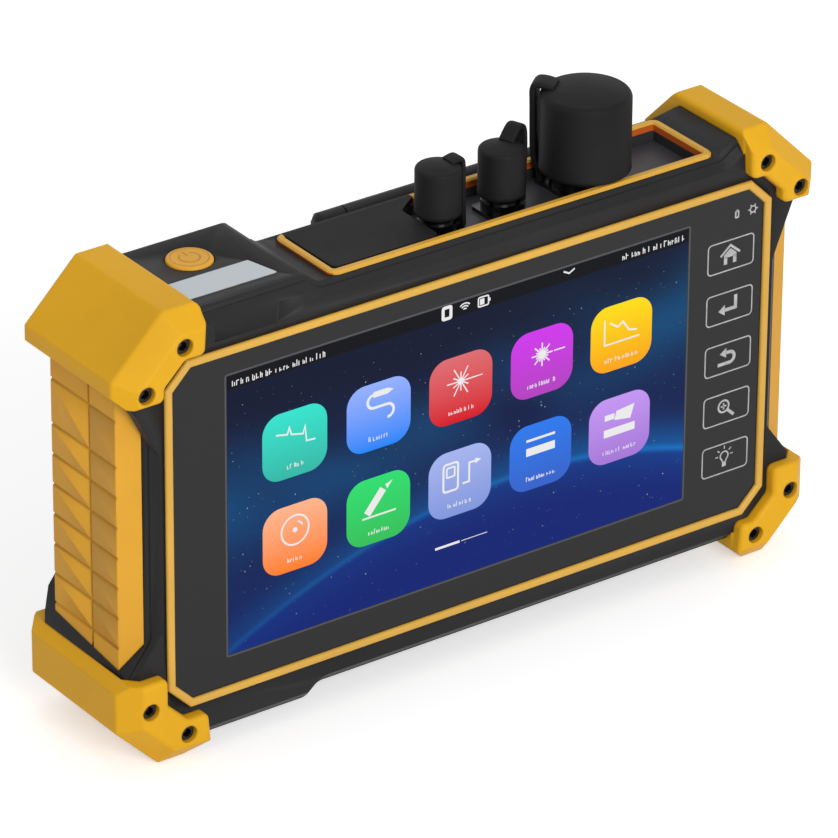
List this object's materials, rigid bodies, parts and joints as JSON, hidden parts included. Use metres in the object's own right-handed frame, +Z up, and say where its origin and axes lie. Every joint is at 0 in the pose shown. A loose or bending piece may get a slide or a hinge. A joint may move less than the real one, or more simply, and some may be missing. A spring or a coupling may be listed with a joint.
{
  "type": "optical time domain reflectometer",
  "caption": "Handheld tablet-shaped optical fibre tester with corner bumpers, side grips, a touch screen, capped optical ports and a covered socket tray on top, and a rear stand.",
  "frame": {"origin": "middle of the underside, between the two lower bumpers", "axes": "+X to the right as the screen is read, -Y the way the screen faces, +Z up"},
  "size_m": [0.2346, 0.0528, 0.1576],
  "materials": {
    "housing_plastic": "fine moulded texture, black",
    "bumper_rubber": "smooth matt overmould, amber yellow",
    "grip_rubber": "matt, amber yellow",
    "trim_plastic": "satin, amber orange",
    "screw_steel": "blackened steel",
    "screen_glass": "polished",
    "display": "lit panel",
    "circuit_board": "solder mask",
    "tray_plastic": "moulded, dark grey",
    "socket_metal": "plated",
    "socket_plastic": "moulded",
    "adapter_metal": "nickel plated",
    "cap_rubber": "soft matt black",
    "button_plastic": "satin, orange",
    "plate_metal": "fine brushed",
    "battery_case": "moulded",
    "sheet_steel": "pressed sheet"
  },
  "bodies": {
    "case": {"front_housing": "housing_plastic", "rear_housing": "housing_plastic", "battery_door": "housing_plastic", "bumper_top_left": "bumper_rubber", "bumper_top_right": "bumper_rubber", "bumper_bottom_left": "bumper_rubber", "bumper_bottom_right": "bumper_rubber", "grip_left": "grip_rubber", "grip_right": "grip_rubber", "screen_trim": "trim_plastic", "tray_trim": "trim_plastic", "bumper_screws_front": "screw_steel", "bumper_screws_rear": "screw_steel", "battery_door_screws": "screw_steel", "housing_screws": "screw_steel", "stand_pin": "screw_steel", "cover_glass": "screen_glass", "display_module": "display", "key_board": "circuit_board", "main_board": "circuit_board", "port_board": "circuit_board", "power_switch": "circuit_board", "port_tray": "tray_plastic", "usb_socket": "socket_metal", "network_socket": "socket_metal", "dc_jack": "socket_plastic", "adapter_1": "adapter_metal", "adapter_2": "adapter_metal", "adapter_3": "adapter_metal", "cap_tether_1": "cap_rubber", "cap_tether_2": "cap_rubber", "cap_tether_3": "cap_rubber", "strip_plate": "plate_metal", "battery_pack": "battery_case", "chassis": "sheet_steel", "optical_module": "sheet_steel"},
    "cap_1": {"dust_cap_1": "cap_rubber"},
    "cap_2": {"dust_cap_2": "cap_rubber"},
    "cap_3": {"dust_cap_3": "cap_rubber"},
    "cover": {"port_cover": "cap_rubber"},
    "button": {"power_button": "button_plastic"},
    "stand_leaf": {"stand": "housing_plastic"}
  },
  "joints": [
    {"name": "cap_1_pull", "type": "slide", "parent": "case", "child": "cap_1", "axis": [0, 0, 1], "range_m": [0, 0.03], "deforming": ["cap_tether_1"]},
    {"name": "cap_2_pull", "type": "slide", "parent": "case", "child": "cap_2", "axis": [0, 0, 1], "range_m": [0, 0.03], "deforming": ["cap_tether_2"]},
    {"name": "cap_3_pull", "type": "slide", "parent": "case", "child": "cap_3", "axis": [0, 0, 1], "range_m": [0, 0.03], "deforming": ["cap_tether_3"]},
    {"name": "cover_open", "type": "hinge", "parent": "case", "child": "cover", "pos_m": [-0.022, 0.0076, 0.1299], "axis": [-1, 0, 0], "range_deg": [0, 100]},
    {"name": "power_press", "type": "slide", "parent": "case", "child": "button", "axis": [0, 0, -1], "range_m": [0, 0.0005], "stiffness_N_per_m": 900, "springref_m": -0.001},
    {"name": "stand_swing", "type": "hinge", "parent": "case", "child": "stand_leaf", "pos_m": [0.018, 0.0186, 0.1244], "axis": [1, 0, 0], "range_deg": [0, 50]}
  ]
}
